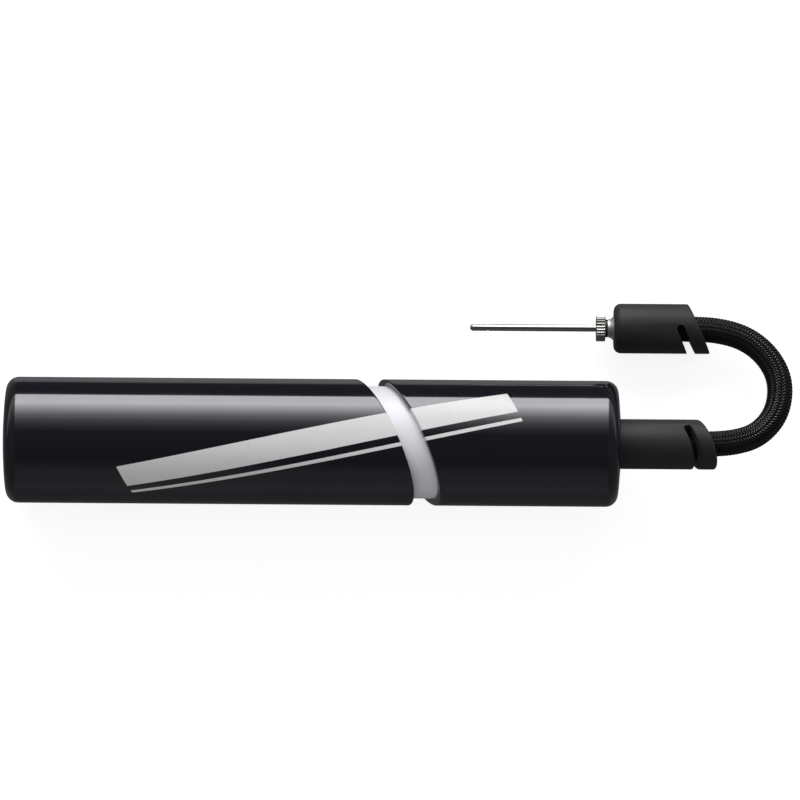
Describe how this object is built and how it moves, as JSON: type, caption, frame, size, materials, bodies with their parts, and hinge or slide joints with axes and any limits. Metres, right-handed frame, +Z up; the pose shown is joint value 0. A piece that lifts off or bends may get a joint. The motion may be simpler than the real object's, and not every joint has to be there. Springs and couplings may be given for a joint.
{
  "type": "ball inflation pump",
  "caption": "Slim hand pump for sports balls: gloss black sliding barrel with a white inner cylinder, and a short braided hose that carries a screw-in inflation needle.",
  "frame": {"origin": "on the table, under the middle of the barrel, which lies on its side", "axes": "+X along the barrel from the handle's closed end to the hose, +Z up from the table, +Y towards the needle"},
  "size_m": [0.2192, 0.0566, 0.035],
  "materials": {
    "gloss_shell": "high-gloss navy-black lacquered plastic with a plain white stripe printed across both shells",
    "white_cylinder": "smooth white plastic, lightly polished by the sliding handle",
    "cap_black": "fine-grained black plastic",
    "inner_grey": "plain moulded plastic",
    "bush_white": "low-friction white plastic",
    "soft_rubber": "soft black rubber",
    "seal_rubber": "greased black sealing rubber",
    "rod_steel": "ground steel rod",
    "screw_steel": "zinc-plated steel",
    "plated_brass": "nickel-plated turned brass",
    "sleeve_rubber": "matt moulded black rubber",
    "braid": "tight black nylon braid over the hose",
    "needle_nickel": "bright nickel-plated needle with a knurled collar"
  },
  "bodies": {
    "barrel": {"cylinder": "white_cylinder", "front_shell": "gloss_shell", "front_cap": "cap_black", "valve_head": "inner_grey", "head_oring": "seal_rubber", "valve_cage": "bush_white", "valve_spring": "screw_steel", "head_screws": "screw_steel", "rod_gland": "inner_grey", "gland_screws": "screw_steel", "rod_bush": "bush_white"},
    "handle": {"handle_shell": "gloss_shell", "handle_cap": "cap_black", "handle_screw": "screw_steel", "closing_bumper": "soft_rubber", "piston_rod": "rod_steel", "stroke_bumper": "soft_rubber", "rod_guide": "inner_grey", "piston_body": "inner_grey", "piston_screw": "screw_steel"},
    "piston_seal": {"piston_ring": "seal_rubber"},
    "valve": {"valve_ball": "screw_steel"},
    "hose": {"root_fitting": "plated_brass", "spigot_oring": "seal_rubber", "root_sleeve": "sleeve_rubber", "root_ferrule": "plated_brass", "hose_tube": "soft_rubber", "hose_braid": "braid", "holder_sleeve": "sleeve_rubber", "holder_fitting": "plated_brass", "holder_ferrule": "plated_brass"},
    "needle_seal": {"needle_washer": "soft_rubber"},
    "needle": {"needle_hub": "needle_nickel", "needle_tube": "needle_nickel"}
  },
  "joints": [
    {"name": "handle_stroke", "type": "slide", "parent": "barrel", "child": "handle", "axis": [-1, 0, 0], "range_m": [0, 0.075]},
    {"name": "ring_float", "type": "slide", "parent": "handle", "child": "piston_seal", "axis": [1, 0, 0], "range_m": [0, 0.0008]},
    {"name": "valve_lift", "type": "slide", "parent": "barrel", "child": "valve", "axis": [1, 0, 0], "range_m": [0, 0.001], "stiffness_N_per_m": 50, "springref_m": -0.004, "deforming": ["valve_spring"]},
    {"name": "hose_swivel", "type": "hinge", "parent": "barrel", "child": "hose", "pos_m": [0.0722, 0, 0.0175], "axis": [1, 0, 0], "continuous": true},
    {"name": "needle_back_out", "type": "slide", "parent": "hose", "child": "needle_seal", "axis": [-1, 0, 0], "range_m": [0, 0.00635]},
    {"name": "needle_unscrew", "type": "hinge", "parent": "needle_seal", "child": "needle", "pos_m": [0.085, 0.0322, 0.00695], "axis": [-1, 0, 0], "range_deg": [0, 2880]}
  ],
  "couplings": [
    {"joint": "needle_unscrew", "follows": "needle_back_out", "rad_per_m": 7915.8}
  ]
}
